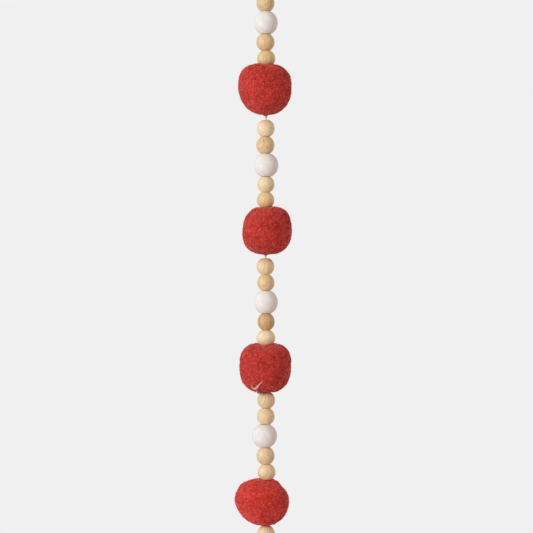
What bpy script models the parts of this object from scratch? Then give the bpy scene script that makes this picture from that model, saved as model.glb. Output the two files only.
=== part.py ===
# Felt ball and wooden bead garland: one strand that hangs straight down from a loop of its own thread.
# Metres, +Z up, with the front facing -Y. Sizes in the tables are millimetres.
# The origin is the top of the loop's inner side, where a hook or nail carries the garland.

from collections import namedtuple
from math import acos, asin, cos, pi, sin, sqrt

import bpy
from mathutils import Vector

MM = 0.001
GAP = 0.3  # between neighbouring pieces

# Thread, its loop, its knots and its cut end.
THREAD = 0.9
THREAD_POINTS = 64
LOOP_DROP = 26.0  # from the hook down to the knot
LOOP_ARC_RADIUS = 2.55  # centreline over the hook
LOOP_FOOT_SPREAD = 0.75  # each leg's distance from the middle at the knot
LOOP_ARC_STEPS = 10
LOOP_LEG_STEPS = 8
KNOT_WIDTH = 3.2
KNOT_HEIGHT = 2.8
KNOT_RIDGE = 0.1  # share of the radius that the turns stand out
KNOT_TURNS = 3
KNOT_SLANT = 2.2  # how far the turns lean, in radians from end to end
KNOT_SIDES = 18
KNOT_LEVELS = 9
TAIL_LENGTH = 14.0
TAIL_BEND = (0.3, -0.2)  # beside the strand and in front of it, half way down the cut end
TAIL_END = (1.0, -0.4)
TAIL_STEPS = 6

# Turned beads: round sides cut off flat at both ends.
WOOD_SIDES = 16
WASHED_SIDES = 20
BEAD_STEPS = 8
FLAT_SHARE = 0.44  # flat end's width as a share of the bead's
WOOD_HOLE = 2.05
WASHED_HOLE = 2.3
MERGE = 0.01  # corners closer than this become one

# Felt balls. The bead above each has pressed a seat into its crown.
BALL_SIDES = 24
SHOULDER_STEPS = 7
BELLY_STEPS = 8
HOLE_STEPS = 3
HOLE_CLEAR = 0.35  # between the thread and the felt, before the felt swells and sinks
FELT_HOLE = THREAD + 2 * HOLE_CLEAR
SEAT_CLEAR = 0.52
RIM_HEIGHT = 0.96  # the seat's rim, as a share of the crown's height
RIM_LIP = 0.7  # from the seat out to the top of the rim
DIP_REACH = 4.5  # the front's dip is full from this far out
SHOULDER_SET = 0.75  # share of the half width past which the shoulder follows the ball's own middle
BELLY_SET = 0.5  # the same for the belly
MOUTH_FLARE = 1.6  # lower mouth's width as a share of the hole's
MOUTH_LIFT = 0.2
PULL_REACH = 4.0  # how far out from the mouth the thread draws the base in
LUMP = 0.018  # share of the radius that the felt swells and sinks
LUMP_WAVE = 3.0

# Rings of the seat: how far out each is from the hole to the seat's edge, and its share of the lean and dip.
SeatRing = namedtuple("SeatRing", "reach crown")
SEAT_RINGS = (
    SeatRing(0.0, 0.0),
    SeatRing(0.35, 0.15),
    SeatRing(0.7, 0.35),
    SeatRing(1.0, 0.55),
)

# beside is how far the piece sits to the right of the strand's own line.
Bead = namedtuple("Bead", "name tone across length beside")

# The beads in their groups, from the top of the garland down.
GROUPS = (
    (
        Bead("wood_bead_1a", "honey", 8.5, 7.6, -0.15),
        Bead("wood_bead_1b", "honey", 8.6, 7.75, -0.25),
        Bead("washed_bead_1c", "washed", 11.35, 10.4, -0.1),
        Bead("wood_bead_1d", "honey", 8.7, 7.55, -0.25),
        Bead("wood_bead_1e", "honey", 8.7, 7.4, 0.1),
    ),
    (
        Bead("wood_bead_2a", "pale", 8.5, 7.55, -0.1),
        Bead("wood_bead_2b", "tan", 8.7, 7.85, -0.3),
        Bead("washed_bead_2c", "washed", 11.75, 10.5, 0.05),
        Bead("wood_bead_2d", "pale", 8.25, 7.15, -0.05),
        Bead("wood_bead_2e", "honey", 8.35, 7.3, -0.2),
    ),
    (
        Bead("wood_bead_3a", "honey", 8.45, 7.5, -0.25),
        Bead("wood_bead_3b", "tan", 8.2, 7.4, -0.05),
        Bead("washed_bead_3c", "washed", 11.4, 10.4, -0.05),
        Bead("wood_bead_3d", "tan", 8.2, 7.7, 0.05),
        Bead("wood_bead_3e", "pale", 9.0, 7.2, -0.05),
    ),
    (
        Bead("wood_bead_4a", "honey", 8.5, 7.45, 0.1),
        Bead("wood_bead_4b", "honey", 8.5, 7.45, -0.1),
        Bead("washed_bead_4c", "washed", 12.0, 10.5, -0.75),
        Bead("wood_bead_4d", "honey", 8.65, 7.8, -0.2),
        Bead("wood_bead_4e", "honey", 8.5, 7.35, 0.3),
    ),
    (
        Bead("wood_bead_5a", "pale", 8.4, 7.5, 0.0),
        Bead("wood_bead_5b", "honey", 8.4, 7.6, -0.15),
        Bead("washed_bead_5c", "washed", 11.6, 10.5, 0.1),
        Bead("wood_bead_5d", "tan", 8.3, 7.5, 0.05),
        Bead("wood_bead_5e", "honey", 8.4, 7.5, -0.1),
    ),
)

# above and below: heights over and under the widest line.
# top_power and base_power: 2 is round, more is squarer.
# crown_x, middle_x and base_x: how far each level sits to the right of the strand.
# sink: how deep the bead above sits in the crown. below_gap: bare thread under the mouth.
# pull: how far the thread draws the mouth up into the base.
# lean: rise of the crown towards the left for each millimetre. dip: how far the rim drops at the front.
Ball = namedtuple(
    "Ball",
    "name width depth above below top_power base_power"
    " crown_x middle_x base_x sink below_gap pull lean dip phase",
)

BALLS = (
    Ball(
        "felt_ball_1", 25.1, 24.6, 11.1, 13.2, 2.7, 2.15,
        -0.55, -0.55, 0.0, 1.25, 2.7, 0.0, 0.04, 0.3, 0.4,
    ),
    Ball(
        "felt_ball_2", 23.1, 24.0, 12.4, 10.45, 2.65, 2.42,
        0.8, 0.55, 0.2, 0.75, 2.05, 0.0, -0.05, 0.65, 2.1,
    ),
    Ball(
        "felt_ball_3", 24.3, 24.6, 10.45, 13.05, 2.8, 2.6,
        -0.15, -0.35, -0.4, 1.25, 1.1, 1.15, 0.02, 1.45, 3.9,
    ),
    Ball(
        "felt_ball_4", 25.6, 24.8, 10.4, 12.3, 1.9, 1.95,
        -2.15, -2.0, -0.9, 0.95, 0.5, 0.4, 0.13, 1.3, 5.2,
    ),
)

# The knot with two free ends that shows on the third ball.
TIE_BALL = "felt_ball_3"
TIE_THREAD = 0.8
TIE_CLEAR = 0.35  # between the thread's own side and the felt

# Its places as seen from the front: beside the strand's line, and above the ball's base.
# swell is the thread's thickness there, as a share of its own.
TiePoint = namedtuple("TiePoint", "beside above_base swell")
TIE = (
    TiePoint(-6.45, 4.0, 0.8),
    TiePoint(-6.25, 3.45, 1.15),
    TiePoint(-5.9, 3.0, 1.45),
    TiePoint(-5.2, 2.75, 1.45),
    TiePoint(-4.5, 3.0, 1.7),
    TiePoint(-4.0, 3.55, 1.1),
    TiePoint(-3.3, 4.25, 0.85),
    TiePoint(-2.45, 4.95, 0.8),
    TiePoint(-1.55, 5.5, 0.65),
)

# The strand that comes out from under the ball and runs up to the knot.
TIE_STRAND_HEAD = TiePoint(-4.4, 1.5, 1.0)
TIE_STRAND_FOOT = Vector((-2.2, -2.75))  # beside the strand and in front of it
TIE_STRAND_FOOT_DROP = 0.45  # under the ball's base
TIE_STRAND_ELBOW = Vector((0.86, 0.8))  # shares of the head's distances
TIE_STRAND_ELBOW_DROP = 0.25
TIE_STRAND_STEPS = 7

Finish = namedtuple("Finish", "color roughness")
FINISHES = {
    "felt": Finish((0.50, 0.035, 0.030), 0.95),
    "pale": Finish((0.76, 0.58, 0.36), 0.45),
    "honey": Finish((0.68, 0.46, 0.24), 0.45),
    "tan": Finish((0.60, 0.37, 0.17), 0.45),
    "washed": Finish((0.84, 0.80, 0.76), 0.7),
    "thread": Finish((0.78, 0.70, 0.66), 0.85),
}


def clear_scene():
    for thing in list(bpy.data.objects):
        bpy.data.objects.remove(thing, do_unlink=True)


def finish_of(name, kind):
    """A material of its own for one piece, in the colour of its kind."""
    finish = FINISHES[kind]
    material = bpy.data.materials.new(name)
    material.use_nodes = True
    shader = material.node_tree.nodes["Principled BSDF"]
    shader.inputs["Base Color"].default_value = (*finish.color, 1.0)
    shader.inputs["Roughness"].default_value = finish.roughness
    shader.inputs["Metallic"].default_value = 0.0
    material.diffuse_color = (*finish.color, 1.0)
    return material


def add_piece(name, data, kind):
    data.materials.append(finish_of(name, kind))
    piece = bpy.data.objects.new(name, data)
    bpy.context.scene.collection.objects.link(piece)
    return piece


def smooth_line(knots, count):
    """Points at even steps of a Catmull-Rom curve through the knots."""
    padded = [2 * knots[0] - knots[1], *knots, 2 * knots[-1] - knots[-2]]
    spans = len(knots) - 1
    points = []
    for step in range(count):
        place = spans * step / (count - 1)
        span = min(int(place), spans - 1)
        u = place - span
        a, b, c, d = padded[span : span + 4]
        bend = (2 * a - 5 * b + 4 * c - d) * u**2 + (3 * b - a - 3 * c + d) * u**3
        points.append((2 * b + (c - a) * u + bend) / 2)
    return points


def add_tube(name, points, diameter, swells=None):
    """A round strand of thread along the points, closed at both ends."""
    curve = bpy.data.curves.new(name, "CURVE")
    curve.dimensions = "3D"
    curve.bevel_depth = diameter / 2 * MM
    curve.bevel_resolution = 2
    curve.use_fill_caps = True
    spline = curve.splines.new("POLY")
    spline.points.add(len(points) - 1)
    for index, point in enumerate(points):
        spline.points[index].co = (*(point * MM), 1.0)
        spline.points[index].radius = swells[index] if swells else 1.0
    spline.use_smooth = True
    return add_piece(name, curve, "thread")


def bead_curve(bead):
    """Half width and half height of the ellipse that the bead's side follows between its flat ends."""
    return bead.across / 2, bead.length / 2 / sqrt(1 - FLAT_SHARE**2)


def add_bead(bead, top):
    """A turned bead with flat ends and a hole, from a profile that runs down the outside and up the hole."""
    washed = bead.tone == "washed"
    hole = (WASHED_HOLE if washed else WOOD_HOLE) / 2
    half_width, half_height = bead_curve(bead)
    end = acos(FLAT_SHARE)
    angles = [end - 2 * end * step / BEAD_STEPS for step in range(BEAD_STEPS + 1)]
    profile = [(half_width * cos(angle), half_height * sin(angle)) for angle in angles]
    profile += [(hole, -bead.length / 2), (hole, bead.length / 2)]
    corners = [(across * MM, 0.0, height * MM) for across, height in profile]
    edges = [(index, (index + 1) % len(corners)) for index in range(len(corners))]
    mesh = bpy.data.meshes.new(bead.name)
    mesh.from_pydata(corners, edges, [])
    piece = add_piece(bead.name, mesh, bead.tone)
    piece.location = (bead.beside * MM, 0.0, (top - bead.length / 2) * MM)
    screw = piece.modifiers.new("Turn", "SCREW")
    screw.steps = WASHED_SIDES if washed else WOOD_SIDES
    screw.render_steps = screw.steps
    screw.use_merge_vertices = True
    screw.merge_threshold = MERGE * MM
    return piece


def power_arc(angle, power):
    """Shares of the width and the height at an angle above or below the widest line of a squared round."""
    return cos(angle) ** (2 / power), abs(sin(angle)) ** (2 / power)


def strand_x(x_at, height):
    """Where the thread is at this height, on an easy curve from the middle of each bead to the next."""
    for (upper, upper_x), (lower, lower_x) in zip(x_at, x_at[1:]):
        if height >= lower:
            share = min(1.0, max(0.0, (upper - height) / (upper - lower)))
            return upper_x + (lower_x - upper_x) * share**2 * (3 - 2 * share)
    return x_at[-1][1]


def level_x(ball, rise):
    """How far to the right of the strand the ball's middle is, where rise runs from -1 at the base to 1."""
    far = ball.crown_x if rise > 0 else ball.base_x
    return ball.middle_x + (far - ball.middle_x) * abs(rise)


def felt_ring(ball, middle, ring, seat_x):
    """The points of one ring round a ball. ring has its half sizes, height, middle x and crown weight."""
    half_width, half_depth, height, centre_x, crown = ring
    points = []
    for side in range(BALL_SIDES):
        turn = 2 * pi * side / BALL_SIDES
        swell = 1 + LUMP * sin(2 * turn) * sin(LUMP_WAVE * height / ball.above + ball.phase)
        x = centre_x + half_width * cos(turn) * swell
        y = half_depth * sin(turn) * swell
        front = max(0.0, -sin(turn)) ** 2 * min(1.0, half_depth / DIP_REACH)
        z = middle + height - crown * (ball.lean * (x - seat_x) + ball.dip * front)
        points.append(Vector((x, y, z)) * MM)
    return points


def ball_rings(ball, crown, seated, seated_top, x_at):
    """Rings from the seat's middle out over the crown, down the outside and back up the hole."""
    middle = crown - ball.above
    hole = FELT_HOLE / 2
    half_width = ball.width / 2
    half_depth = ball.depth / 2

    # The seat follows the bead above, a little larger. The crown's lean and dip fade towards the hole.
    seat_width, seat_height = (size + SEAT_CLEAR for size in bead_curve(seated))
    bead_middle = seated_top - seated.length / 2 - middle
    above_rim = bead_middle - RIM_HEIGHT * ball.above
    edge = seat_width * sqrt(1 - (above_rim / seat_height) ** 2)
    seat = []
    for ring in SEAT_RINGS:
        radius = hole + (edge - hole) * ring.reach
        drop = seat_height * sqrt(1 - (radius / seat_width) ** 2)
        seat.append((radius, radius, bead_middle - drop, seated.beside, ring.crown))

    # Over the shoulder to the widest line.
    outside = []
    rim = edge + RIM_LIP
    rim_angle = pi / 2 - asin((rim / half_width) ** (ball.top_power / 2))
    for step in range(SHOULDER_STEPS + 1):
        angle = rim_angle * (1 - step / SHOULDER_STEPS)
        share, rise = power_arc(angle, ball.top_power)
        reach = min(1.0, max(0.0, (share * half_width - rim) / (SHOULDER_SET * half_width - rim)))
        x = seated.beside + (level_x(ball, rise) - seated.beside) * reach
        outside.append((share * half_width, share * half_depth, ball.above * rise, x, rise**2))

    # Down to the hole's lower mouth.
    base_x = strand_x(x_at, middle - ball.below)
    mouth = MOUTH_FLARE * hole
    mouth_angle = pi / 2 - asin((mouth / half_width) ** (ball.base_power / 2))
    for step in range(1, BELLY_STEPS + 1):
        angle = mouth_angle * step / BELLY_STEPS
        share, rise = power_arc(angle, ball.base_power)
        reach = min(1.0, share / BELLY_SET)
        x = base_x + (level_x(ball, -rise) - base_x) * reach
        drawn = max(0.0, 1 - (share * half_width - mouth) / PULL_REACH) ** 2
        height = ball.pull * drawn - ball.below * rise
        outside.append((share * half_width, share * half_depth, height, x, 0.0))

    # Up the hole along the thread.
    foot = ball.pull - ball.below
    floor = seat[0][2]
    inside = []
    for step in range(HOLE_STEPS):
        height = MOUTH_LIFT + foot + (floor - foot) * step / HOLE_STEPS
        inside.append((hole, hole, height, strand_x(x_at, middle + height), 0.0))

    return [felt_ring(ball, middle, ring, seated.beside) for ring in seat + outside + inside]


def add_ball(ball, crown, seated, seated_top, x_at):
    """A felt ball pierced from crown to base, its surface lofted through its rings."""
    rings = ball_rings(ball, crown, seated, seated_top, x_at)
    corners = [corner for ring in rings for corner in ring]
    faces = []
    for index in range(len(rings)):
        here = index * BALL_SIDES
        after = (index + 1) % len(rings) * BALL_SIDES
        for side in range(BALL_SIDES):
            beyond = (side + 1) % BALL_SIDES
            faces.append((here + side, after + side, after + beyond, here + beyond))
    mesh = bpy.data.meshes.new(ball.name)
    mesh.from_pydata(corners, [], faces)
    mesh.shade_smooth()
    return add_piece(ball.name, mesh, "felt")


def add_knot(name, top):
    """A tight knot: a small round lump whose turns of thread stand out as slanted ridges."""
    corners = [Vector((0.0, 0.0, top))]
    for level in range(1, KNOT_LEVELS):
        rise = pi / 2 - pi * level / KNOT_LEVELS
        height = top - KNOT_HEIGHT / 2 * (1 - sin(rise))
        for side in range(KNOT_SIDES):
            turn = 2 * pi * side / KNOT_SIDES
            ridge = 1 + KNOT_RIDGE * cos(KNOT_TURNS * turn + KNOT_SLANT * rise) * cos(rise)
            reach = KNOT_WIDTH / 2 * cos(rise) * ridge
            corners.append(Vector((reach * cos(turn), reach * sin(turn), height)))
    corners.append(Vector((0.0, 0.0, top - KNOT_HEIGHT)))
    last = len(corners) - 1
    faces = []
    for side in range(KNOT_SIDES):
        beyond = (side + 1) % KNOT_SIDES
        faces.append((0, 1 + side, 1 + beyond))
        for level in range(KNOT_LEVELS - 2):
            here = 1 + level * KNOT_SIDES
            after = here + KNOT_SIDES
            faces.append((here + side, after + side, after + beyond, here + beyond))
        faces.append((last, last - KNOT_SIDES + beyond, last - KNOT_SIDES + side))
    mesh = bpy.data.meshes.new(name)
    mesh.from_pydata([corner * MM for corner in corners], [], faces)
    mesh.shade_smooth()
    return add_piece(name, mesh, "thread")


def add_loop():
    """The hanging loop: two legs from the knot, drawn straight by the weight, and an arc over the hook."""
    arc_middle = THREAD / 2 - LOOP_ARC_RADIUS
    foot = GAP - LOOP_DROP
    leg = []
    for step in range(LOOP_LEG_STEPS):
        share = step / LOOP_LEG_STEPS
        spread = LOOP_FOOT_SPREAD + (LOOP_ARC_RADIUS - LOOP_FOOT_SPREAD) * sin(share * pi / 2)
        leg.append((spread, foot + (arc_middle - foot) * share))
    points = [Vector((-spread, 0.0, height)) for spread, height in leg]
    for step in range(LOOP_ARC_STEPS + 1):
        turn = pi * (1 - step / LOOP_ARC_STEPS)
        points.append(Vector((LOOP_ARC_RADIUS * cos(turn), 0.0, arc_middle + LOOP_ARC_RADIUS * sin(turn))))
    points += [Vector((spread, 0.0, height)) for spread, height in reversed(leg)]
    return add_tube("hang_loop", points, THREAD)


def over_front(ball, middle, place):
    """The middle of a thread that is seen at this place, lying over the front of the ball's lower half."""
    rise = 1 - place.above_base / ball.below
    share = (1 - rise**ball.base_power) ** (1 / ball.base_power)
    across = (place.beside - level_x(ball, -rise)) / (share * ball.width / 2)
    depth = share * sqrt(1 - across**2)
    outwards = Vector((across * share, -depth, -(rise ** (ball.base_power - 1)))).normalized()
    over_felt = TIE_CLEAR + place.swell * TIE_THREAD / 2
    height = middle - ball.below + place.above_base
    return Vector((place.beside, -depth * ball.depth / 2 + over_felt / outwards.y, height))


def add_tie(ball, crown):
    """The knotted thread on the ball: its knot and two free ends, and the strand that comes up to it."""
    middle = crown - ball.above
    base = middle - ball.below
    points = [over_front(ball, middle, place) for place in TIE]
    add_tube("thread_tie", points, TIE_THREAD, [place.swell for place in TIE])

    head = over_front(ball, middle, TIE_STRAND_HEAD)
    elbow = Vector((*(head.xy * TIE_STRAND_ELBOW), base - TIE_STRAND_ELBOW_DROP))
    foot = Vector((*TIE_STRAND_FOOT, base - TIE_STRAND_FOOT_DROP))
    add_tube("tie_strand", smooth_line([foot, elbow, head], TIE_STRAND_STEPS), TIE_THREAD)


def stack():
    """Each bead's top and each ball's crown, worked out from the hook down, and the end knot's top."""
    bead_tops = {}
    crowns = {}
    height = -LOOP_DROP - KNOT_HEIGHT - GAP
    for index, group in enumerate(GROUPS):
        for bead in group:
            bead_tops[bead.name] = height
            height -= bead.length + GAP
        if index < len(BALLS):
            ball = BALLS[index]
            crowns[ball.name] = height + GAP + ball.sink
            height = crowns[ball.name] - ball.above - ball.below + ball.pull - ball.below_gap
    return bead_tops, crowns, height


def build():
    clear_scene()
    bead_tops, crowns, end_knot_top = stack()
    beads = [bead for group in GROUPS for bead in group]

    # The thread goes through the middle of every hole, so it swings a little from bead to bead.
    thread_top = -LOOP_DROP - KNOT_HEIGHT - GAP
    x_at = [(thread_top, 0.0)]
    x_at += [(bead_tops[bead.name] - bead.length / 2, bead.beside) for bead in beads]
    x_at.append((end_knot_top + GAP, 0.0))

    for bead in beads:
        add_bead(bead, bead_tops[bead.name])
    for ball, group in zip(BALLS, GROUPS):
        seated = group[-1]
        add_ball(ball, crowns[ball.name], seated, bead_tops[seated.name], x_at)
        if ball.name == TIE_BALL:
            add_tie(ball, crowns[ball.name])

    reach = thread_top - x_at[-1][0]
    heights = [thread_top - reach * step / (THREAD_POINTS - 1) for step in range(THREAD_POINTS)]
    add_tube("thread", [Vector((strand_x(x_at, height), 0.0, height)) for height in heights], THREAD)

    add_loop()
    add_knot("top_knot", -LOOP_DROP)
    add_knot("end_knot", end_knot_top)
    tail_top = end_knot_top - KNOT_HEIGHT - GAP
    tail = [
        Vector((0.0, 0.0, tail_top)),
        Vector((*TAIL_BEND, tail_top - TAIL_LENGTH / 2)),
        Vector((*TAIL_END, tail_top - TAIL_LENGTH)),
    ]
    add_tube("end_tail", smooth_line(tail, TAIL_STEPS), THREAD)


build()
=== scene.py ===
# Felt ball and wooden bead garland: the looks of every piece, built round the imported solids.
# The scene is in metres, +Z up, with the front facing -Y. Named sizes and tables are millimetres.

from collections import namedtuple
from math import acos, cos, pi, radians, sin, sqrt

import bmesh
import bpy
import numpy as np
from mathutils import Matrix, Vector, noise
from mathutils.bvhtree import BVHTree


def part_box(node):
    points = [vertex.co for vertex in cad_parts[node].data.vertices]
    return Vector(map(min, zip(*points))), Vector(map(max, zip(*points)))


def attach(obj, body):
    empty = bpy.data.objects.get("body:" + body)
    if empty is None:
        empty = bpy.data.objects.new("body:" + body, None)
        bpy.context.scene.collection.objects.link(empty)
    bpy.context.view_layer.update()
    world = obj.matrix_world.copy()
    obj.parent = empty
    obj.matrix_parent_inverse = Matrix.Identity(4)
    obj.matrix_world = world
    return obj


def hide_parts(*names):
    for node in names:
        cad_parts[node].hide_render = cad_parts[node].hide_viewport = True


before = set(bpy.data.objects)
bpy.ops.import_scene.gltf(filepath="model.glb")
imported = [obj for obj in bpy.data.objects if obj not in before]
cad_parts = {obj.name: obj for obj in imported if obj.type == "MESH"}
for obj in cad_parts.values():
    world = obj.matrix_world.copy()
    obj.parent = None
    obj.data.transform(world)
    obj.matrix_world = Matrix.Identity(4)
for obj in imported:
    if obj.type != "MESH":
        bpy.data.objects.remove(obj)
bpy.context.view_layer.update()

MM = 0.001
BODY = "root"

# Camera, level with the middle of the photograph.
CAMERA_DISTANCE = 900.0
CAMERA_SIDE = 0.24
CAMERA_HEIGHT = -166.2
VIEW_WIDTH = 253.7  # what the photograph spans at the strand
SENSOR_WIDTH = 36.0
CLIP_NEAR = 0.01  # metres
CLIP_FAR = 50.0

# Thread, its loop, its knots and its cut end, on the solids' own routes.
THREAD = 0.9
THREAD_PLIES = 3
THREAD_PITCH = 2.7  # one whole turn of a ply
THREAD_SIDES = 15
THREAD_STEP = 0.34
PLY_GROOVE = 0.3  # share of the radius between two plies
LOOP_ARC_RADIUS = 2.55
LOOP_FOOT_SPREAD = 0.75
LOOP_ARC_STEPS = 10
LOOP_LEG_STEPS = 8
LOOP_FINE_STEPS = 6
TAIL_BEND = (0.3, -0.2)  # beside the strand and in front of it, half way down the cut end
TAIL_END = (1.0, -0.4)
TAIL_FINE_STEPS = 24
TAIL_SEED = 11
KNOT_STEPS = 90

# Loose fibres that fan out from a thread. count, length and spread say how many there are, how long
# they are and how wide the fan is.
Fray = namedtuple("Fray", "count length spread")
TAIL_FRAY = Fray(14, 1.3, 0.3)
FRAY_RADIUS = 0.045
FRAY_STEPS = 5
FRAY_LENGTHS = (0.6, 1.1)  # shortest and longest, as shares of the fan's length
FRAY_BEND = 0.5  # share of the spread
FRAY_SCATTER = 0.12
FRAY_ROOT = 0.3  # how far back in the thread a fibre starts
FRAY_TAPER = 0.6

# Wool.
WELD = 0.00001  # metres
JOIN_FACE_ANGLE = 0.7  # radians
JOIN_SHAPE_ANGLE = 0.9  # radians
WOOL_LEVELS = 3
WOOL_FIT_ROUNDS = 3
SOFT_LUMP = 4.2
SOFT_LUMP_HEIGHT = 0.14
CURL_LUMP = 1.3
CURL_LUMP_HEIGHT = 0.11
FIBRE_SIDES = 3
STEEP = 0.8  # a way this near upright is crossed with X to find its sides, any other with Z
WOOL_DARK = (0.36, 0.011, 0.008)
WOOL_RED = (0.54, 0.018, 0.012)
WOOL_LIGHT = (0.80, 0.066, 0.047)
WOOL_FUZZ = (0.90, 0.170, 0.135)

# Turned beads.
WOOD_HOLE = 2.05
WASHED_HOLE = 2.3
FLAT_SHARE = 0.44  # flat end's width as a share of the bead's
FLAT_RIM = 0.92  # share of the flat end that is quite flat
END_GROWTH = 0.12  # each end is this much nearer its neighbour than the solid's
HOLE_CHAMFER = 0.18
WOOD_SIDES = 48
WASHED_SIDES = 64
PROFILE_STEPS = 24
PITH = 9.0  # from the bead's middle to the middle of the tree's rings
PITH_ASIDE = 0.4  # share of that distance to the side
RING_WIDTH = 1.25
RING_WAVE = 20  # the ring texture's wave, in radians a metre at a scale of 1
GRAIN_STRETCH = 0.14
BARE_SKIN = (0.5, 0.55)  # roughness and specular
WASHED_SKIN = (0.7, 0.25)

# Colours of the threads: the lint rubbed off on them, the spun thread and its bright turns.
Spun = namedtuple("Spun", "lint spun bright")
PALE_THREAD = Spun((0.70, 0.54, 0.50), (0.86, 0.78, 0.75), (0.93, 0.89, 0.87))
LINTY_THREAD = Spun((0.55, 0.11, 0.09), (0.68, 0.31, 0.285), (0.82, 0.58, 0.56))
RED_THREAD = Spun((0.54, 0.06, 0.045), (0.64, 0.18, 0.16), (0.78, 0.40, 0.37))


def srgb(red, green, blue):
    """Linear values of a colour given as 0 to 255."""
    return tuple(((value / 255 + 0.055) / 1.055) ** 2.4 for value in (red, green, blue))


BACKDROP = srgb(240, 240, 241)
AMBIENT = (0.54, 0.468, 0.428)


# Meshes

Shape = namedtuple("Shape", "points faces")


def joined(shapes):
    """One shape from several."""
    points = []
    faces = []
    start = 0
    for shape in shapes:
        points.append(shape.points)
        faces += [tuple(start + corner for corner in face) for face in shape.faces]
        start += len(shape.points)
    return Shape(np.concatenate(points), faces)


def add_piece(name, shape, material, replaced=(), location=(0.0, 0.0, 0.0)):
    """A smooth piece of the object in place. The shape is in millimetres."""
    mesh = bpy.data.meshes.new(name)
    mesh.from_pydata((shape.points * MM).tolist(), [], shape.faces)
    mesh.shade_smooth()
    mesh.materials.append(material)
    piece = bpy.data.objects.new(name, mesh)
    piece.location = Vector(location) * MM
    bpy.context.scene.collection.objects.link(piece)
    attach(piece, BODY)
    if replaced:
        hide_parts(*replaced)
    return piece


def tube_faces(rings, sides):
    """Faces of a tube whose rings follow one another, with both ends closed."""
    faces = []
    for ring in range(rings - 1):
        here = ring * sides
        for side in range(sides):
            beyond = (side + 1) % sides
            faces.append((here + side, here + beyond, here + sides + beyond, here + sides + side))
    faces.append(tuple(reversed(range(sides))))
    faces.append(tuple(range((rings - 1) * sides, rings * sides)))
    return faces


def smooth_line(knots, per_span):
    """Points of a Catmull-Rom curve through the knots."""
    knots = np.asarray(knots, float)
    padded = np.concatenate([[2 * knots[0] - knots[1]], knots, [2 * knots[-1] - knots[-2]]])
    points = []
    for span in range(len(knots) - 1):
        a, b, c, d = padded[span : span + 4]
        for step in range(per_span):
            u = step / per_span
            bend = (2 * a - 5 * b + 4 * c - d) * u**2 + (3 * b - a - 3 * c + d) * u**3
            points.append((2 * b + (c - a) * u + bend) / 2)
    points.append(knots[-1])
    return np.array(points)


def length_of(points):
    return float(np.linalg.norm(np.diff(points, axis=0), axis=1).sum())


def evenly(points, step):
    """The same line with a point at every step of its length."""
    points = np.asarray(points, float)
    along = np.concatenate([[0.0], np.cumsum(np.linalg.norm(np.diff(points, axis=0), axis=1))])
    places = np.linspace(0.0, along[-1], max(2, round(along[-1] / step) + 1))
    return np.stack([np.interp(places, along, points[:, axis]) for axis in range(3)], axis=1)


def side_vectors(points):
    """Two directions across the line at each point, carried along it without twist."""
    tangents = np.gradient(points, axis=0)
    tangents /= np.linalg.norm(tangents, axis=1)[:, None]
    across = np.cross(tangents[0], (0.0, 1.0, 0.0))
    if np.linalg.norm(across) < 0.1:
        across = np.cross(tangents[0], (1.0, 0.0, 0.0))
    sides = []
    for tangent in tangents:
        across = across - tangent * across.dot(tangent)
        across = across / np.linalg.norm(across)
        sides.append((across, np.cross(tangent, across)))
    return np.array(sides)


def twisted_tube(points, diameter, plies, pitch, swells=None):
    """Thread of twisted plies along evenly spaced points, each ply a lobe that winds round the middle."""
    step = length_of(points) / (len(points) - 1)
    turns = 2 * pi * np.arange(THREAD_SIDES) / THREAD_SIDES
    rings = []
    for index, (across, over) in enumerate(side_vectors(points)):
        wind = 2 * pi * index * step / pitch
        lobe = 1 - PLY_GROOVE * (1 - np.abs(np.cos(plies * (turns - wind) / 2)))
        radius = diameter / 2 * lobe * (swells[index] if swells is not None else 1.0)
        ring = (radius * np.cos(turns))[:, None] * across + (radius * np.sin(turns))[:, None] * over
        rings.append(points[index] + ring)
    return Shape(np.concatenate(rings), tube_faces(len(points), THREAD_SIDES))


def fibres(paths, radius, taper):
    """Thin three-sided fibres along many paths at once. paths is fibres by points by three."""
    count, steps, _ = paths.shape
    tangents = np.gradient(paths, axis=1)
    tangents /= np.linalg.norm(tangents, axis=2)[:, :, None]
    helper = np.where(np.abs(tangents[:, :1, 2:]) < STEEP, (0.0, 0.0, 1.0), (1.0, 0.0, 0.0))
    across = np.cross(tangents, helper)
    across /= np.linalg.norm(across, axis=2)[:, :, None]
    over = np.cross(tangents, across)
    width = radius * (1 - taper * np.linspace(0.0, 1.0, steps))
    rings = []
    for side in range(FIBRE_SIDES):
        turn = 2 * pi * side / FIBRE_SIDES
        rings.append(paths + width[None, :, None] * (cos(turn) * across + sin(turn) * over))
    points = np.stack(rings, axis=2).reshape(-1, 3)
    pattern = tube_faces(steps, FIBRE_SIDES)
    faces = []
    for fibre in range(count):
        start = fibre * steps * FIBRE_SIDES
        faces += [tuple(start + corner for corner in face) for face in pattern]
    return Shape(points, faces)


# Materials


def add_node(tree, kind, settings=None, **inputs):
    """A node with its settings and the values of its sockets, which name their spaces as underscores."""
    node = tree.nodes.new(kind)
    for field, value in (settings or {}).items():
        setattr(node, field, value)
    for name, value in inputs.items():
        socket = node.inputs[name.replace("_", " ")]
        if isinstance(value, bpy.types.NodeSocket):
            tree.links.new(value, socket)
        else:
            socket.default_value = value
    return node


def add_noise(tree, place, size, detail=2.0, roughness=0.5, distortion=0.0):
    """A noise with blobs of about this many millimetres."""
    node = add_node(
        tree, "ShaderNodeTexNoise", Vector=place, Scale=1 / (size * MM),
        Detail=detail, Roughness=roughness, Distortion=distortion,
    )
    return node.outputs["Fac"]


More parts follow.
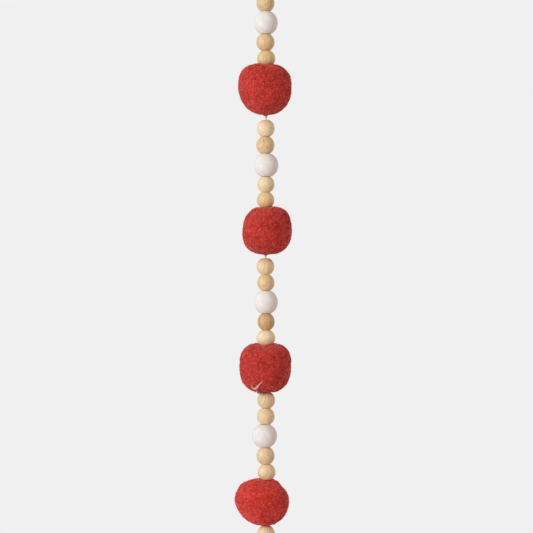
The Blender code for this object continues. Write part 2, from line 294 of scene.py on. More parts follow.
def ramp(tree, factor, *stops):
    """A colour for each place on the way from 0 to 1. Each stop is a place and a colour or a grey."""
    node = add_node(tree, "ShaderNodeValToRGB", Fac=factor)
    elements = node.color_ramp.elements
    while len(elements) < len(stops):
        elements.new(0.5)
    for element, (place, color) in zip(elements, stops):
        element.position = place
        element.color = (*color, 1.0) if isinstance(color, tuple) else (color, color, color, 1.0)
    return node.outputs["Color"]


def mixed(tree, mode, factor, first, second):
    """Two colours put together. Each is a socket or a colour, and factor is a number or a socket."""
    node = tree.nodes.new("ShaderNodeMix")
    node.data_type = "RGBA"
    node.blend_type = mode
    sockets = {socket.identifier: socket for socket in node.inputs}
    for socket, value in (("Factor_Float", factor), ("A_Color", first), ("B_Color", second)):
        if isinstance(value, bpy.types.NodeSocket):
            tree.links.new(value, sockets[socket])
        elif isinstance(value, tuple):
            sockets[socket].default_value = (*value, 1.0)
        else:
            sockets[socket].default_value = value
    return next(output for output in node.outputs if output.identifier == "Result_Color")


def new_material(name, roughness, specular):
    material = bpy.data.materials.new(name)
    material.use_nodes = True
    tree = material.node_tree
    shader = tree.nodes["Principled BSDF"]
    shader.inputs["Roughness"].default_value = roughness
    shader.inputs["Specular IOR Level"].default_value = specular
    place = tree.nodes.new("ShaderNodeTexCoord").outputs["Object"]
    return material, tree, shader, place


def add_bump(tree, shader, height, strength, distance):
    bump = add_node(tree, "ShaderNodeBump", Strength=strength, Distance=distance * MM, Height=height)
    tree.links.new(bump.outputs["Normal"], shader.inputs["Normal"])


def set_sheen(shader, weight, roughness, tint):
    shader.inputs["Sheen Weight"].default_value = weight
    shader.inputs["Sheen Roughness"].default_value = roughness
    shader.inputs["Sheen Tint"].default_value = (*tint, 1.0)


def shaded(shade, *colors):
    """The colours made lighter or darker."""
    return [tuple(shade * value for value in color) for color in colors]


def wool_material(name, shade):
    """Felted red wool: curled light and dark fibres one or two millimetres long in a soft surface."""
    material, tree, shader, place = new_material(name, roughness=0.62, specular=0.2)
    dark, red, light = shaded(shade, WOOL_DARK, WOOL_RED, WOOL_LIGHT)
    curls = add_noise(tree, place, size=1.9, distortion=2.2)
    hairs = add_noise(tree, place, size=0.6, distortion=2.4)
    patches = add_noise(tree, place, size=6.0)
    color = ramp(tree, curls, (0.32, dark), (0.5, red), (0.66, light))
    color = mixed(tree, "MULTIPLY", 0.9, color, ramp(tree, hairs, (0.34, 0.8), (0.62, 1.16)))
    color = mixed(tree, "MULTIPLY", 1.0, color, ramp(tree, patches, (0.35, 0.87), (0.65, 1.08)))
    tree.links.new(color, shader.inputs["Base Color"])
    set_sheen(shader, weight=0.5, roughness=0.6, tint=(1.0, 0.46, 0.42))
    add_bump(tree, shader, mixed(tree, "MIX", 0.4, curls, hairs), strength=0.85, distance=0.4)
    return material


def fuzz_material(name, shade):
    """The loose fibres that stand off the felt, a little lighter than it."""
    material, tree, shader, place = new_material(name, roughness=0.9, specular=0.05)
    red, light, fair = shaded(shade, WOOL_RED, WOOL_LIGHT, WOOL_FUZZ)
    strands = add_noise(tree, place, size=1.6, roughness=0.6, distortion=0.8)
    color = ramp(tree, strands, (0.34, red), (0.5, light), (0.66, fair))
    tree.links.new(color, shader.inputs["Base Color"])
    set_sheen(shader, weight=0.12, roughness=0.4, tint=(1.0, 0.45, 0.42))
    return material


# light is the wood between the growth lines, line the lines themselves, fleck the short dark pores.
# plain is the share of the wood that has no pores.
Tone = namedtuple("Tone", "slot light line fleck plain")
TONES = {
    "pale": Tone("wood_pale", (0.88, 0.71, 0.47), (0.76, 0.57, 0.34), (0.58, 0.38, 0.19), 0.6),
    "honey": Tone("wood_honey", (0.81, 0.59, 0.32), (0.67, 0.45, 0.215), (0.47, 0.28, 0.12), 0.59),
    # fair is honey made a little bluer and paler: painted whiter light on the lower beads, in honey's own
    # slot.
    "fair": Tone("wood_honey", (0.80, 0.60, 0.37), (0.67, 0.46, 0.255), (0.47, 0.29, 0.14), 0.59),
    "speckled": Tone("wood_tan", (0.79, 0.57, 0.33), (0.68, 0.46, 0.24), (0.47, 0.27, 0.11), 0.53),
    "tan": Tone("wood_tan", (0.70, 0.43, 0.20), (0.54, 0.31, 0.13), (0.38, 0.20, 0.08), 0.57),
    "washed": Tone("wood_washed", (0.87, 0.83, 0.80), (0.83, 0.78, 0.745), (0.74, 0.67, 0.62), 0.6),
}


def wood_material(name, tone, tilt, spin, shade):
    """Turned wood: growth lines that run along the hole, short flecks and a satin skin."""
    roughness, specular = WASHED_SKIN if tone.slot == "wood_washed" else BARE_SKIN
    material, tree, shader, place = new_material(name, roughness, specular)
    light, line, fleck = shaded(shade, tone.light, tone.line, tone.fleck)
    turned = add_node(tree, "ShaderNodeMapping", Vector=place, Rotation=(radians(tilt), 0.0, radians(spin)))
    drawn = add_node(
        tree, "ShaderNodeMapping", Vector=turned.outputs["Vector"], Scale=(1.0, 1.0, GRAIN_STRETCH)
    )
    along = drawn.outputs["Vector"]
    pith = add_node(
        tree, "ShaderNodeMapping", Vector=along, Location=(PITH * MM, PITH_ASIDE * PITH * MM, 0.0)
    )
    rings = add_node(
        tree, "ShaderNodeTexWave", {"wave_type": "RINGS", "rings_direction": "Z"},
        Vector=pith.outputs["Vector"], Scale=2 * pi / (RING_WAVE * RING_WIDTH * MM),
        Distortion=3.0, Detail=2.0, Detail_Scale=0.6, Detail_Roughness=0.6,
    )
    streaks = add_noise(tree, along, size=0.8, detail=3.0, roughness=0.6, distortion=0.3)
    flecks = add_noise(tree, along, size=0.36, detail=1.0, roughness=0.4)
    clouds = add_noise(tree, place, size=2.2)
    color = ramp(tree, rings.outputs["Fac"], (0.1, light), (0.9, line))
    color = mixed(tree, "MIX", ramp(tree, streaks, (0.38, 0.0), (0.62, 0.85)), light, color)
    color = mixed(tree, "MULTIPLY", 1.0, color, ramp(tree, clouds, (0.35, 0.94), (0.65, 1.04)))
    pores = ramp(tree, flecks, (tone.plain, 0.0), (tone.plain + 0.1, 0.65))
    color = mixed(tree, "MIX", pores, color, fleck)
    tree.links.new(color, shader.inputs["Base Color"])
    add_bump(tree, shader, mixed(tree, "MIX", 0.5, streaks, flecks), strength=0.4, distance=0.07)
    return material


def thread_material(name, colors):
    """Spun thread with lint on it."""
    material, tree, shader, place = new_material(name, roughness=0.85, specular=0.2)
    mottle = add_noise(tree, place, size=0.5, roughness=0.6)
    color = ramp(tree, mottle, (0.36, colors.lint), (0.5, colors.spun), (0.66, colors.bright))
    tree.links.new(color, shader.inputs["Base Color"])
    set_sheen(shader, weight=0.25, roughness=0.5, tint=(1.0, 0.9, 0.88))
    fine = add_noise(tree, place, size=0.16, roughness=0.6)
    add_bump(tree, shader, fine, strength=0.5, distance=0.04)
    return material


# Camera


def add_camera():
    data = bpy.data.cameras.new("camera")
    data.sensor_width = SENSOR_WIDTH
    data.lens = SENSOR_WIDTH * CAMERA_DISTANCE / VIEW_WIDTH
    data.clip_start = CLIP_NEAR
    data.clip_end = CLIP_FAR
    camera = bpy.data.objects.new("camera", data)
    camera.location = Vector((CAMERA_SIDE, -CAMERA_DISTANCE, CAMERA_HEIGHT)) * MM
    camera.rotation_euler = (pi / 2, 0.0, 0.0)
    bpy.context.scene.collection.objects.link(camera)
    bpy.context.scene.camera = camera


# Thread and knots


def box_of(node):
    """A node's lowest and highest corner in millimetres."""
    low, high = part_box(node)
    return np.array(low) / MM, np.array(high) / MM


def strand_x(x_at, height):
    """Where the thread is at this height, on an easy curve from the middle of each bead to the next."""
    for (upper, upper_x), (lower, lower_x) in zip(x_at, x_at[1:]):
        if height >= lower:
            share = min(1.0, max(0.0, (upper - height) / (upper - lower)))
            return upper_x + (lower_x - upper_x) * share**2 * (3 - 2 * share)
    return x_at[-1][1]


def strand_route():
    """From the top knot to the end knot through the middle of every bead."""
    low, high = box_of("thread")
    x_at = [(high[2], 0.0)]
    for bead in BEADS:
        middle = sum(box_of(bead.node)) / 2
        x_at.append((middle[2], middle[0]))
    x_at.append((low[2], 0.0))
    heights = np.linspace(high[2], low[2], round((high[2] - low[2]) / THREAD_STEP) + 1)
    return np.array([(strand_x(x_at, height), 0.0, height) for height in heights])


def loop_route():
    """Up one leg from the knot, over the top and down the other leg."""
    arc_middle = THREAD / 2 - LOOP_ARC_RADIUS
    foot = box_of("hang_loop")[0][2]
    leg = []
    for step in range(LOOP_LEG_STEPS):
        share = step / LOOP_LEG_STEPS
        spread = LOOP_FOOT_SPREAD + (LOOP_ARC_RADIUS - LOOP_FOOT_SPREAD) * sin(share * pi / 2)
        leg.append((spread, foot + (arc_middle - foot) * share))
    points = [(-spread, 0.0, height) for spread, height in leg]
    for step in range(LOOP_ARC_STEPS + 1):
        turn = pi * (1 - step / LOOP_ARC_STEPS)
        points.append((LOOP_ARC_RADIUS * cos(turn), 0.0, arc_middle + LOOP_ARC_RADIUS * sin(turn)))
    points += [(spread, 0.0, height) for spread, height in reversed(leg)]
    return points


def knot_shape(node):
    """An overhand knot pulled tight, in the space of the node's solid."""
    low, high = box_of(node)
    middle = (low + high) / 2
    reach = (high - low - THREAD) / 2
    points = []
    for step in range(KNOT_STEPS + 1):
        turn = 2 * pi * step / KNOT_STEPS
        across = (sin(turn) + 2 * sin(2 * turn)) / 3
        over = (cos(turn) - 2 * cos(2 * turn)) / 3
        points.append(middle + reach * (across, over, -sin(3 * turn)))
    return twisted_tube(np.array(points), THREAD, THREAD_PLIES, THREAD_PITCH)


def frayed(end, direction, fray, seed):
    """Loose fibres that fan out from a place on a thread."""
    random = np.random.RandomState(seed)
    direction = np.asarray(direction, float) / np.linalg.norm(direction)
    along = np.linspace(0.0, 1.0, FRAY_STEPS)[None, :, None]
    aims = direction + fray.spread * random.normal(size=(fray.count, 3))
    bends = FRAY_BEND * fray.spread * random.normal(size=(fray.count, 3))
    lengths = fray.length * random.uniform(*FRAY_LENGTHS, (fray.count, 1, 1))
    starts = end + FRAY_SCATTER * random.normal(size=(fray.count, 3)) - FRAY_ROOT * direction
    paths = starts[:, None, :] + lengths * (aims[:, None, :] * along + bends[:, None, :] * along**2)
    return fibres(paths, FRAY_RADIUS, FRAY_TAPER)


def add_threads():
    """The strand, its hanging loop, both knots and the cut end."""
    cloth = thread_material("spun_thread", PALE_THREAD)
    top_knot = add_piece("top_knot_tied", knot_shape("top_knot"), cloth, ["top_knot"])
    end_knot = add_piece("end_knot_tied", knot_shape("end_knot"), cloth, ["end_knot"])

    low, high = box_of("end_tail")
    tail_middle = (low[2] + high[2]) / 2
    tail = [(0.0, 0.0, high[2]), (*TAIL_BEND, tail_middle), (*TAIL_END, low[2])]
    tail = evenly(smooth_line(tail, TAIL_FINE_STEPS), THREAD_STEP)
    fray = frayed(tail[-1], tail[-1] - tail[-3], TAIL_FRAY, TAIL_SEED)
    tail_shape = twisted_tube(tail, THREAD, THREAD_PLIES, THREAD_PITCH)
    end = add_piece("end_tail_cut", joined([tail_shape, fray]), cloth, ["end_tail"])

    route = strand_route()
    strand_shape = twisted_tube(route, THREAD, THREAD_PLIES, THREAD_PITCH)
    strand = add_piece("strand", strand_shape, cloth, ["thread"])

    loop_line = evenly(smooth_line(loop_route(), LOOP_FINE_STEPS), THREAD_STEP)
    loop_shape = twisted_tube(loop_line, THREAD, THREAD_PLIES, THREAD_PITCH)
    loop = add_piece("loop", loop_shape, cloth, ["hang_loop"])


# Beads

# tilt leans the grain from the hole's direction and spin turns it round the hole, in degrees.
# shade is how light the wood is beside others of its tone. The fair tone is honey with painted whiter
# light, set on the lower beads.
Turned = namedtuple("Turned", "node tone tilt spin shade")
BEADS = (
    Turned("wood_bead_1a", "honey", 24, 20, 1.0),
    Turned("wood_bead_1b", "honey", -12, 110, 0.95),
    Turned("washed_bead_1c", "washed", 6, 40, 1.0),
    Turned("wood_bead_1d", "honey", 18, 200, 1.0),
    Turned("wood_bead_1e", "honey", -8, 300, 1.02),
    Turned("wood_bead_2a", "pale", 38, 75, 1.05),
    Turned("wood_bead_2b", "speckled", 10, 160, 1.04),
    Turned("washed_bead_2c", "washed", -14, 10, 1.0),
    Turned("wood_bead_2d", "pale", 42, 240, 1.0),
    Turned("wood_bead_2e", "honey", 12, 330, 1.06),
    Turned("wood_bead_3a", "fair", -20, 55, 1.11),
    Turned("wood_bead_3b", "speckled", 3, 140, 1.07),
    Turned("washed_bead_3c", "washed", 2, 220, 1.0),
    Turned("wood_bead_3d", "tan", 8, 15, 1.0),
    Turned("wood_bead_3e", "pale", -10, 95, 1.06),
    Turned("wood_bead_4a", "fair", 30, 180, 1.04),
    Turned("wood_bead_4b", "fair", -24, 265, 1.12),
    Turned("washed_bead_4c", "washed", 16, 350, 1.0),
    Turned("wood_bead_4d", "fair", 36, 60, 1.05),
    Turned("wood_bead_4e", "fair", 6, 145, 1.12),
    Turned("wood_bead_5a", "pale", -16, 230, 0.97),
    Turned("wood_bead_5b", "honey", 14, 315, 1.0),
    Turned("washed_bead_5c", "washed", 9, 35, 1.0),
    Turned("wood_bead_5d", "tan", -6, 120, 1.0),
    Turned("wood_bead_5e", "honey", 20, 205, 1.05),
)


def bead_shape(across, length, hole, sides):
    """A turned bead round its own middle: round sides, flat ends and a hole with eased edges."""
    half_width = across / 2
    top = length / 2
    half_height = top / sqrt(1 - FLAT_SHARE**2)
    end = acos(FLAT_SHARE)
    angles = np.linspace(end, -end, PROFILE_STEPS + 1)
    outside = [(half_width * cos(angle), half_height * sin(angle)) for angle in angles]
    bore = hole / 2
    rim = FLAT_RIM * FLAT_SHARE * half_width
    profile = [(bore, top - HOLE_CHAMFER), (bore + HOLE_CHAMFER, top), (rim, top), *outside]
    profile += [(rim, -top), (bore + HOLE_CHAMFER, -top), (bore, HOLE_CHAMFER - top)]
    profile = np.array(profile)
    turns = 2 * pi * np.arange(sides) / sides
    radius, height = profile[:, :1], profile[:, 1:]
    points = np.stack([radius * np.cos(turns), radius * np.sin(turns), height + 0 * turns], axis=2)
    rings = len(profile)
    faces = []
    for ring in range(rings):
        here = ring * sides
        after = (ring + 1) % rings * sides
        for side in range(sides):
            beyond = (side + 1) % sides
            faces.append((here + side, after + side, after + beyond, here + beyond))
    return Shape(points.reshape(-1, 3), faces)


def add_bead(bead):
    low, high = box_of(bead.node)
    washed = bead.tone == "washed"
    across, _, length = high - low
    hole = WASHED_HOLE if washed else WOOD_HOLE
    sides = WASHED_SIDES if washed else WOOD_SIDES
    shape = bead_shape(across, length + 2 * END_GROWTH, hole, sides)
    tone = TONES[bead.tone]
    material = wood_material(bead.node + "_grain", tone, bead.tilt, bead.spin, bead.shade)
    add_piece(bead.node + "_turned", shape, material, [bead.node], (low + high) / 2)


# Felt balls

# shade is how light the wool is beside the other balls'.
# near and far are how far from the thread the loose fibres under the ball grow, wisps is their number and
# wisp their length.
Felt = namedtuple("Felt", "node seed shade near far wisps wisp")
FELTS = (
    Felt("felt_ball_1", 3, 0.97, 0.55, 0.95, 30, 1.5),
    Felt("felt_ball_2", 17, 0.94, 0.55, 0.9, 26, 1.2),
    Felt("felt_ball_3", 29, 0.94, 2.1, 3.2, 90, 0.6),
    Felt("felt_ball_4", 41, 1.12, 2.1, 3.2, 90, 0.6),
)
SEAT_REACH = 4.6  # no fibre is rooted within this reach of the strand on the crown
MOUTH_REACH = 2.2  # the same at the base, apart from the wisps

# Fibres that lie on a ball. Their turn, wave and phases are in radians.
CURLS = 2300
CURL_RADIUS = 0.085
CURL_STEPS = 7
CURL_LENGTHS = (1.4, 3.6)
CURL_TURN = 2.6  # usual turn along a fibre
CURL_WAVE = 0.8  # usual swing to one side and back to the other
CURL_PHASES = 6
CURL_LIFT = 0.1  # height of the fibre's middle over its ends
CURL_LIFTS = (0.2, 1.6)  # least and most, as shares of that height
CURL_BASE = 0.01  # height of a fibre's middle line over the felt, before the lift
CURL_TAPER = 0.5

# Fibres that stand off a ball.
HAIRS = 1500
HAIR_RADIUS = 0.028
HAIR_STEPS = 4
HAIR_LEAN = 0.75  # usual lean, as a share of the way out
HAIR_BEND = 0.6  # usual bend, as the same share
HAIR_DROOP = 0.25
HAIR_SPREAD = 4.0  # shape of the spread of lengths, which is a gamma spread
HAIR_SCALE = 0.16  # the usual length is this times the shape
HAIR_ROOT = 0.05  # how deep in the felt a hair starts
HAIR_TAPER = 0.7

# Fibres drawn out of a ball's base.
WISP_RADIUS = 0.05
WISP_STEPS = 5
WISP_ROOT = 0.45  # how far up in the base a wisp starts
WISP_SWIRL = 0.5  # usual turn round the thread, in radians
WISP_LENGTHS = (0.3, 1.0)  # shortest and longest, as shares of the ball's wisp
WISP_TAPER = 0.5


def corners_of(mesh):
    points = np.empty(len(mesh.vertices) * 3)
    mesh.vertices.foreach_get("co", points)
    return points.reshape(-1, 3)


def smooth_copy(node):
    """The solid's surface made fine and smooth, still passing through the solid's own corners."""
    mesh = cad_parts[node].data.copy()
    work = bmesh.new()
    work.from_mesh(mesh)
    bmesh.ops.remove_doubles(work, verts=work.verts, dist=WELD)
    bmesh.ops.join_triangles(
        work, faces=work.faces,
        angle_face_threshold=JOIN_FACE_ANGLE, angle_shape_threshold=JOIN_SHAPE_ANGLE,
    )
    work.to_mesh(mesh)
    work.free()
    helper = bpy.data.objects.new("helper", mesh)
    bpy.context.scene.collection.objects.link(helper)
    smoothing = helper.modifiers.new("Smooth", "SUBSURF")
    smoothing.levels = WOOL_LEVELS
    smoothing.render_levels = WOOL_LEVELS
    wanted = corners_of(mesh)
    cage = wanted.copy()
    for _ in range(WOOL_FIT_ROUNDS):
        fine = helper.evaluated_get(bpy.context.evaluated_depsgraph_get()).data
        cage += wanted - corners_of(fine)[: len(wanted)]
        mesh.vertices.foreach_set("co", cage.ravel())
        mesh.update()
        helper.update_tag()
        bpy.context.view_layer.update()
    fine = bpy.data.meshes.new_from_object(helper.evaluated_get(bpy.context.evaluated_depsgraph_get()))
    bpy.data.objects.remove(helper)
    bpy.data.meshes.remove(mesh)
    return fine


def matted(mesh, seed):
    """Pushes the surface in and out in soft lumps and small curls."""
    points = corners_of(mesh)
    normals = np.empty(len(mesh.vertices) * 3)
    mesh.vertex_normals.foreach_get("vector", normals)
    normals = normals.reshape(-1, 3)
    shift = Vector((seed, 2 * seed, 3 * seed))
    heights = []
    for point in points:
        place = Vector(point) / MM
        lump = noise.noise(place / SOFT_LUMP + shift)
        curl = noise.noise(place / CURL_LUMP - shift)
        heights.append(lump * SOFT_LUMP_HEIGHT + curl * CURL_LUMP_HEIGHT)
    points += normals * np.array(heights)[:, None] * MM
    mesh.vertices.foreach_set("co", points.ravel())
    mesh.update()


def roots(mesh, count, random, strand):
    """Places spread over the felt outside its seat and mouth, with the way out and two ways along it."""
    mesh.calc_loop_triangles()
    corners = np.empty(len(mesh.loop_triangles) * 3, int)
    mesh.loop_triangles.foreach_get("vertices", corners)
    triangles = corners_of(mesh)[corners.reshape(-1, 3)] / MM
    first, second, third = triangles[:, 0], triangles[:, 1], triangles[:, 2]
    normals = np.cross(second - first, third - first)
    areas = np.linalg.norm(normals, axis=1)
    normals /= areas[:, None]
    middles = triangles.mean(axis=1)
    reach = np.linalg.norm(middles[:, :2] - strand[:2], axis=1)
    seat = (reach < SEAT_REACH) & (middles[:, 2] > strand[2])
    mouth = (reach < MOUTH_REACH) & (middles[:, 2] <= strand[2])
    weights = np.where(seat | mouth, 0.0, areas)
    chosen = random.choice(len(areas), count, p=weights / weights.sum())
    u, v = np.sort(random.uniform(size=(2, count, 1)), axis=0)
    places = first[chosen] * u + second[chosen] * (v - u) + third[chosen] * (1 - v)
    outwards = normals[chosen]
    helper = np.where(np.abs(outwards[:, 2:]) < STEEP, (0.0, 0.0, 1.0), (1.0, 0.0, 0.0))
    along = np.cross(outwards, helper)
    along /= np.linalg.norm(along, axis=1)[:, None]
    return places, outwards, along, np.cross(outwards, along)


def lying_curls(mesh, random, strand, radius):
    """Fibres that curl over the surface, half sunk in it."""
    places, outwards, along, over = roots(mesh, CURLS, random, strand)
    share = np.linspace(0.0, 1.0, CURL_STEPS)
    one = (CURLS, 1)
    heading = random.uniform(0, 2 * pi, one) + random.normal(0, CURL_TURN, one) * share
    wave = random.normal(0, CURL_WAVE, one)
    heading = heading + wave * np.sin(2 * pi * share + random.uniform(0, CURL_PHASES, one))
    step = random.uniform(*CURL_LENGTHS, one) / (CURL_STEPS - 1)
    u = np.cumsum(step * np.cos(heading), axis=1)
    v = np.cumsum(step * np.sin(heading), axis=1)
    u -= u.mean(axis=1)[:, None]
    v -= v.mean(axis=1)[:, None]
    lift = CURL_LIFT * np.sin(pi * share) * random.uniform(*CURL_LIFTS, one)
    lift = lift + CURL_BASE - (u**2 + v**2) / (2 * radius)
    paths = places[:, None, :] + u[:, :, None] * along[:, None, :] + v[:, :, None] * over[:, None, :]
    return fibres(paths + lift[:, :, None] * outwards[:, None, :], CURL_RADIUS, CURL_TAPER)


def standing_hairs(mesh, random, strand):
    """Short loose fibres that stand off the surface and bend over."""
    places, outwards, along, over = roots(mesh, HAIRS, random, strand)
    share = np.linspace(0.0, 1.0, HAIR_STEPS)[None, :, None]
    lean = random.normal(0, HAIR_LEAN, (2, HAIRS, 1))
    bend = random.normal(0, HAIR_BEND, (2, HAIRS, 1))
    start = outwards + lean[0] * along + lean[1] * over
    curve = bend[0] * along + bend[1] * over - HAIR_DROOP * outwards
    length = random.gamma(HAIR_SPREAD, HAIR_SCALE, (HAIRS, 1, 1))
    paths = places[:, None, :] - HAIR_ROOT * outwards[:, None, :]
    paths = paths + length * (start[:, None, :] * share + curve[:, None, :] * share**2)
    return fibres(paths, HAIR_RADIUS, HAIR_TAPER)


def base_wisps(mouth, felt, random):
    """Fibres drawn out of the ball's base, close round the thread or over the bead below."""
    one = (felt.wisps, 1)
    share = np.linspace(0.0, 1.0, WISP_STEPS)[None, :]
    root = random.uniform(felt.near, felt.far, one)
    reach = felt.near + (root - felt.near) * (1 - share) ** 2
    turns = random.uniform(0, 2 * pi, one) + random.normal(0, WISP_SWIRL, one) * share
    height = WISP_ROOT - (WISP_ROOT + felt.wisp * random.uniform(*WISP_LENGTHS, one)) * share
    paths = np.stack([reach * np.cos(turns), reach * np.sin(turns), height], axis=2) + mouth
    return fibres(paths, WISP_RADIUS, WISP_TAPER)


def add_ball(felt, thread_route):
    wool = wool_material(felt.node + "_matted", felt.shade)
    fuzz = fuzz_material(felt.node + "_loose", felt.shade)
    low, high = box_of(felt.node)
    middle = (low + high) / 2
    radius = (high[0] - low[0]) / 2
    random = np.random.RandomState(felt.seed)
    mesh = smooth_copy(felt.node)
    matted(mesh, felt.seed)
    mesh.name = felt.node + "_wool"
    mesh.shade_smooth()
    mesh.materials.clear()
    mesh.materials.append(wool)
    ball = bpy.data.objects.new(felt.node + "_wool", mesh)
    bpy.context.scene.collection.objects.link(ball)
    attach(ball, BODY)
    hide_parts(felt.node)

    strand = np.array((0.0, 0.0, middle[2]))
    mouth = thread_route[np.abs(thread_route[:, 2] - low[2]).argmin()]
    shapes = [
        lying_curls(mesh, random, strand, radius),
        standing_hairs(mesh, random, strand),
        base_wisps(mouth, felt, random),
    ]
    add_piece(felt.node + "_fuzz", joined(shapes), fuzz)
    return mesh


# Tie on the third ball

TIE_BALL = "felt_ball_3"
TIE_THREAD = 0.62
TIE_PLIES = 2
TIE_PITCH = 1.7
TIE_STEP = 0.15
TIE_FINE_STEPS = 12
TIE_SEED = 5
TIE_LINT = Fray(3, 0.9, 0.4)
TIE_LINT_STEP = 3  # points from one tuft of lint to the next
TIE_START_FRAY = Fray(10, 1.0, 0.35)
TIE_END_FRAY = Fray(10, 1.1, 0.35)
TIE_END_REACH = 4  # points back from an end that give the way it runs
CAST_FROM = -40.0  # in front of the whole garland

# The strand that comes up to the tie.
TIE_STRAND_SEED = 61
TIE_STRAND_RAISED = 0.35  # it is drawn up against the felt by this much
TIE_STRAND_HEAD = 0.5  # corners of the solid this near its top are its head
TIE_STRAND_FOOT = 20  # number of corners nearest the thread that are its foot
TIE_ELBOW_BESIDE = 0.86  # share of the head's distance beside the thread
TIE_ELBOW_FRONT = 0.8  # share of the head's distance in front of it

# beside is from the strand's line, above_base from the ball's lowest point. swell thickens the knot.
TiePoint = namedtuple("TiePoint", "beside above_base swell")
TIE = (
    TiePoint(-6.45, 3.55, 1.0),
    TiePoint(-6.25, 3.0, 1.5),
    TiePoint(-5.8, 2.5, 1.9),
    TiePoint(-5.0, 2.3, 1.9),
    TiePoint(-4.25, 2.65, 2.4),
    TiePoint(-3.85, 3.2, 1.4),
    TiePoint(-3.2, 3.95, 1.1),
    TiePoint(-2.4, 4.75, 1.0),
    TiePoint(-1.6, 5.4, 0.8),
)


def on_front(tree, beside, height):
    """The point on the ball's front that the camera sees here, and the way out of it."""
    start = Vector((beside, CAST_FROM, height)) * MM
    hit, outwards, _, _ = tree.ray_cast(start, Vector((0.0, 1.0, 0.0)))
    return np.array(hit) / MM, np.array(outwards)


def with_lint(line, swells, seed):
    """A thread of the tie with loose fibres along it and a fan of them at its free ends."""
    shapes = [twisted_tube(line, TIE_THREAD, TIE_PLIES, TIE_PITCH, swells)]
    for index in range(0, len(line) - TIE_LINT_STEP, TIE_LINT_STEP):
        ahead = line[index + TIE_LINT_STEP] - line[index]
        shapes.append(frayed(line[index], ahead, TIE_LINT, seed + index))
    start, end = line[0], line[-1]
    shapes.append(frayed(start, start - line[TIE_END_REACH], TIE_START_FRAY, seed + 1))
    shapes.append(frayed(end, end - line[-1 - TIE_END_REACH], TIE_END_FRAY, seed + 2))
    return joined(shapes)


def add_tie(mesh, cloth):
    """The knotted thread on the ball: two free ends and the knot between them."""
    base = box_of(TIE_BALL)[0][2]
    tree = BVHTree.FromPolygons([v.co for v in mesh.vertices], [p.vertices for p in mesh.polygons])
    points = []
    for place in TIE:
        on_felt, outwards = on_front(tree, place.beside, base + place.above_base)
        points.append(on_felt + outwards * TIE_THREAD / 2 * max(1.0, place.swell))
    line = evenly(smooth_line(points, TIE_FINE_STEPS), TIE_STEP)
    places = np.linspace(0, len(TIE) - 1, len(line))
    swells = np.interp(places, np.arange(len(TIE)), [place.swell for place in TIE])
    add_piece("thread_tie_knotted", with_lint(line, swells, TIE_SEED), cloth, ["thread_tie"])


def add_tie_strand(cloth):
    """The strand from under the ball up to the knot, along its solid."""
    points = corners_of(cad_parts["tie_strand"].data) / MM
    low, high = points.min(axis=0), points.max(axis=0)
    head = points[points[:, 2] > high[2] - TIE_STRAND_HEAD].mean(axis=0)
    nearest = np.linalg.norm(points[:, :2], axis=1).argsort()
    foot = points[nearest[:TIE_STRAND_FOOT]].mean(axis=0)
    elbow = np.array((head[0] * TIE_ELBOW_BESIDE, head[1] * TIE_ELBOW_FRONT, low[2] + TIE_THREAD))
    raised = np.array((0.0, 0.0, TIE_STRAND_RAISED))
    line = evenly(smooth_line([foot + raised, elbow + raised, head + raised], TIE_FINE_STEPS), TIE_STEP)
    add_piece("tie_strand_spun", with_lint(line, None, TIE_STRAND_SEED), cloth, ["tie_strand"])


# Studio

FLOOR_DEPTH = 1.4  # metres below the top of the loop
FLOOR_RADIUS = 4.0  # metres
FLOOR_SIDES = 96
FLOOR_GRAIN = 3.0  # blobs to a metre

# side, front and up are where the lamp is, in metres from the middle of the view.
Lamp = namedtuple("Lamp", "name side front up size power color")
LAMPS = (
    Lamp("key", -1.145, 1.07, 0.305, 0.9, 18.0, (0.88, 0.96, 1.0)),
    Lamp("bounce", 0.9, -0.9, 0.1, 0.9, 2.5, (1.0, 0.92, 0.86)),
)


def add_lamps():
    middle = Vector((0.0, 0.0, CAMERA_HEIGHT * MM))
    for lamp in LAMPS:
        data = bpy.data.lights.new(lamp.name, "AREA")
        data.size = lamp.size
        data.energy = lamp.power
        data.color = lamp.color
        light = bpy.data.objects.new(lamp.name, data)
        light.location = middle + Vector((lamp.side, -lamp.front, lamp.up))
        light.rotation_mode = "QUATERNION"
        light.rotation_quaternion = (middle - light.location).to_track_quat("-Z", "Y")
        light.visible_camera = False
        bpy.context.scene.collection.objects.link(light)


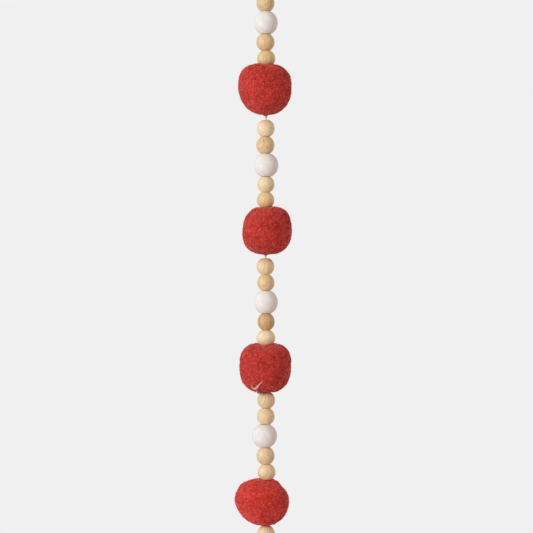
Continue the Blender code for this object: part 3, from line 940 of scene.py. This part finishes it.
def add_world():
    """Even soft light from all round, and a plain pale backdrop behind the garland."""
    world = bpy.data.worlds.new("studio")
    world.use_nodes = True
    tree = world.node_tree
    seen = tree.nodes["Background"]
    seen.inputs["Color"].default_value = (*BACKDROP, 1.0)
    fill = add_node(tree, "ShaderNodeBackground", Color=(*AMBIENT, 1.0))
    path = tree.nodes.new("ShaderNodeLightPath")
    choice = tree.nodes.new("ShaderNodeMixShader")
    tree.links.new(path.outputs["Is Camera Ray"], choice.inputs[0])
    tree.links.new(fill.outputs["Background"], choice.inputs[1])
    tree.links.new(seen.outputs["Background"], choice.inputs[2])
    tree.links.new(choice.outputs["Shader"], tree.nodes["World Output"].inputs["Surface"])
    bpy.context.scene.world = world


def add_floor():
    """A plain pale floor far below, which fades into the backdrop at its rim."""
    material, tree, shader, place = new_material("floor", roughness=0.9, specular=0.1)
    grain = add_node(tree, "ShaderNodeTexNoise", Vector=place, Scale=FLOOR_GRAIN, Detail=2.0).outputs["Fac"]
    tree.links.new(ramp(tree, grain, (0.3, 0.80), (0.7, 0.84)), shader.inputs["Base Color"])
    shrunk = add_node(tree, "ShaderNodeMapping", Vector=place, Scale=(1 / FLOOR_RADIUS,) * 3)
    fade = add_node(
        tree, "ShaderNodeTexGradient", {"gradient_type": "SPHERICAL"}, Vector=shrunk.outputs["Vector"]
    )
    tree.links.new(ramp(tree, fade.outputs["Fac"], (0.0, 0.0), (0.6, 1.0)), shader.inputs["Alpha"])
    mesh = bpy.data.meshes.new("floor")
    work = bmesh.new()
    bmesh.ops.create_circle(work, cap_ends=True, segments=FLOOR_SIDES, radius=FLOOR_RADIUS)
    work.to_mesh(mesh)
    work.free()
    mesh.materials.append(material)
    floor = bpy.data.objects.new("floor", mesh)
    floor.location = (0.0, 0.0, -FLOOR_DEPTH)
    bpy.context.scene.collection.objects.link(floor)


def build():
    add_camera()
    add_threads()
    tie_cloth = thread_material("linty_thread", LINTY_THREAD)
    strand_cloth = thread_material("red_thread", RED_THREAD)
    thread_route = strand_route()
    for felt in FELTS:
        mesh = add_ball(felt, thread_route)
        if felt.node == TIE_BALL:
            add_tie(mesh, tie_cloth)
    add_tie_strand(strand_cloth)
    for bead in BEADS:
        add_bead(bead)
    add_lamps()
    add_world()
    add_floor()
    bpy.context.scene.view_settings.view_transform = "Standard"


build()
